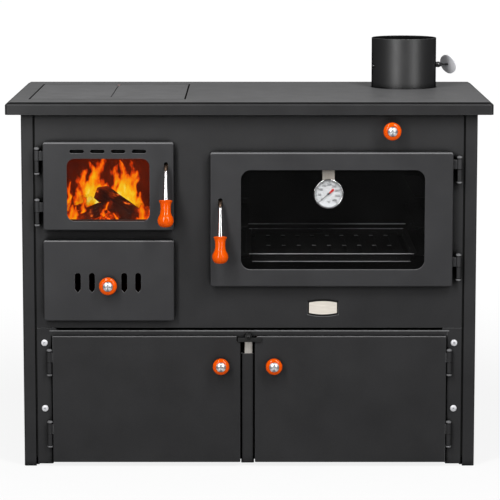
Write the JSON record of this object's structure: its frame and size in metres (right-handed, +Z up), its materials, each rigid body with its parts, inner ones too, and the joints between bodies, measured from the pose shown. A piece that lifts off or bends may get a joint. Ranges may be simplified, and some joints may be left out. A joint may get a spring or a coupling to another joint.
{
  "type": "wood cookstove",
  "caption": "Freestanding wood cookstove with glazed firebox and oven doors, ash drawer, hot plate, flue collar and a wood store below.",
  "frame": {"origin": "on the floor, under the middle of the whole stove", "axes": "+X to the cook's right, +Y to the back of the stove, +Z up"},
  "size_m": [1.06, 0.613, 0.925],
  "materials": {
    "black_steel": "satin black stove paint on folded sheet steel",
    "hob_steel": "satin black painted steel",
    "hob_iron": "ground and blackened cast iron",
    "flue_steel": "matt black painted steel",
    "inner_steel": "matt dark mill finish",
    "oven_steel": "dark enamel",
    "tray_enamel": "dark enamel",
    "firebrick": "pressed firebrick",
    "grate_iron": "raw cast iron",
    "zinc": "zinc plated steel",
    "lever_steel": "heat-tinted steel rod",
    "chrome": "polished chrome",
    "orange_lacquer": "glossy orange lacquer",
    "glass": "clear heat-resistant glass",
    "gasket": "woven glass-fibre seal",
    "brushed_strap": "brushed stainless steel",
    "dial_white": "white enamelled dial",
    "needle_red": "red painted needle",
    "badge_plate": "plain pale plate in a dark rim"
  },
  "bodies": {
    "body": {"side_panel_left": "black_steel", "side_panel_right": "black_steel", "back_panel": "black_steel", "front_panel": "black_steel", "seam_straps": "inner_steel", "heat_shield": "inner_steel", "hob_frame": "hob_steel", "hob_plate": "hob_iron", "flue_collar": "flue_steel", "firebox_shell": "inner_steel", "fire_bricks": "firebrick", "fire_grate": "grate_iron", "ash_chamber": "inner_steel", "oven_box": "oven_steel", "oven_runners": "oven_steel", "oven_tray": "tray_enamel", "oven_grid": "tray_enamel", "flue_box": "inner_steel", "badge": "badge_plate", "store_frame": "black_steel", "store_mullion": "black_steel", "store_strap": "zinc", "latch_bolt": "zinc", "store_floor": "black_steel", "hinge_pins": "black_steel"},
    "cooking_plate": {"cooking_plate": "hob_iron"},
    "flue_damper": {"damper_rod": "zinc", "damper_plate": "inner_steel", "damper_ferrule": "black_steel", "damper_disc": "zinc"},
    "fire_door": {"fire_door_shell": "black_steel", "fire_door_glass": "glass", "fire_door_liner": "inner_steel", "fire_door_gasket": "gasket"},
    "fire_handle": {"fire_handle_lever": "lever_steel", "fire_handle_ferrule": "chrome", "fire_handle_grip": "orange_lacquer"},
    "oven_door": {"oven_door_shell": "black_steel", "oven_door_glass": "glass", "oven_door_liner": "inner_steel", "oven_door_gasket": "gasket", "gauge_strap": "brushed_strap", "gauge_case": "brushed_strap", "gauge_dial": "dial_white", "gauge_lens": "glass"},
    "oven_handle": {"oven_handle_lever": "lever_steel", "oven_handle_ferrule": "chrome", "oven_handle_grip": "orange_lacquer"},
    "gauge_needle": {"gauge_needle": "needle_red"},
    "ash_drawer": {"ash_drawer_front": "black_steel", "ash_pan": "inner_steel", "ash_drawer_knob": "orange_lacquer"},
    "bypass_damper": {"bypass_rod": "zinc", "bypass_knob": "orange_lacquer"},
    "left_wood_door": {"left_store_door": "black_steel", "left_store_knob": "orange_lacquer"},
    "right_wood_door": {"right_store_door": "black_steel", "right_store_knob": "orange_lacquer"},
    "turn_latch": {"turn_latch": "black_steel"}
  },
  "joints": [
    {"name": "cooking_plate_lift", "type": "slide", "parent": "body", "child": "cooking_plate", "axis": [0, 0, 1], "range_m": [0, 0.08]},
    {"name": "flue_damper_turn", "type": "hinge", "parent": "body", "child": "flue_damper", "pos_m": [0.36, 0.1595, 0.86], "axis": [0.9511, 0.309, 0], "range_deg": [0, 90]},
    {"name": "fire_door_swing", "type": "hinge", "parent": "body", "child": "fire_door", "pos_m": [-0.463, -0.239, 0.625], "axis": [0, 0, -1], "range_deg": [0, 110]},
    {"name": "fire_handle_pull", "type": "hinge", "parent": "fire_door", "child": "fire_handle", "pos_m": [-0.181, -0.237, 0.6685], "axis": [-1, 0, 0], "range_deg": [0, 25]},
    {"name": "oven_door_swing", "type": "hinge", "parent": "body", "child": "oven_door", "pos_m": [0.458, -0.239, 0.55], "axis": [0, 0, 1], "range_deg": [0, 110]},
    {"name": "oven_handle_pull", "type": "hinge", "parent": "oven_door", "child": "oven_handle", "pos_m": [-0.063, -0.237, 0.589], "axis": [-1, 0, 0], "range_deg": [0, 25]},
    {"name": "gauge_needle_turn", "type": "hinge", "parent": "oven_door", "child": "gauge_needle", "pos_m": [0.173, -0.238, 0.609], "axis": [0, 1, 0], "range_deg": [0, 270]},
    {"name": "ash_drawer_slide", "type": "slide", "parent": "body", "child": "ash_drawer", "axis": [0, -1, 0], "range_m": [0, 0.35]},
    {"name": "bypass_pull", "type": "slide", "parent": "body", "child": "bypass_damper", "axis": [0, -1, 0], "range_m": [0, 0.07]},
    {"name": "left_wood_door_swing", "type": "hinge", "parent": "body", "child": "left_wood_door", "pos_m": [-0.4403, -0.235, 0.15], "axis": [0, 0, -1], "range_deg": [0, 110]},
    {"name": "right_wood_door_swing", "type": "hinge", "parent": "body", "child": "right_wood_door", "pos_m": [0.4403, -0.235, 0.15], "axis": [0, 0, 1], "range_deg": [0, 110]},
    {"name": "turn_latch_turn", "type": "hinge", "parent": "body", "child": "turn_latch", "pos_m": [-0.002, -0.24, 0.292], "axis": [0, 1, 0], "range_deg": [0, 90]}
  ]
}
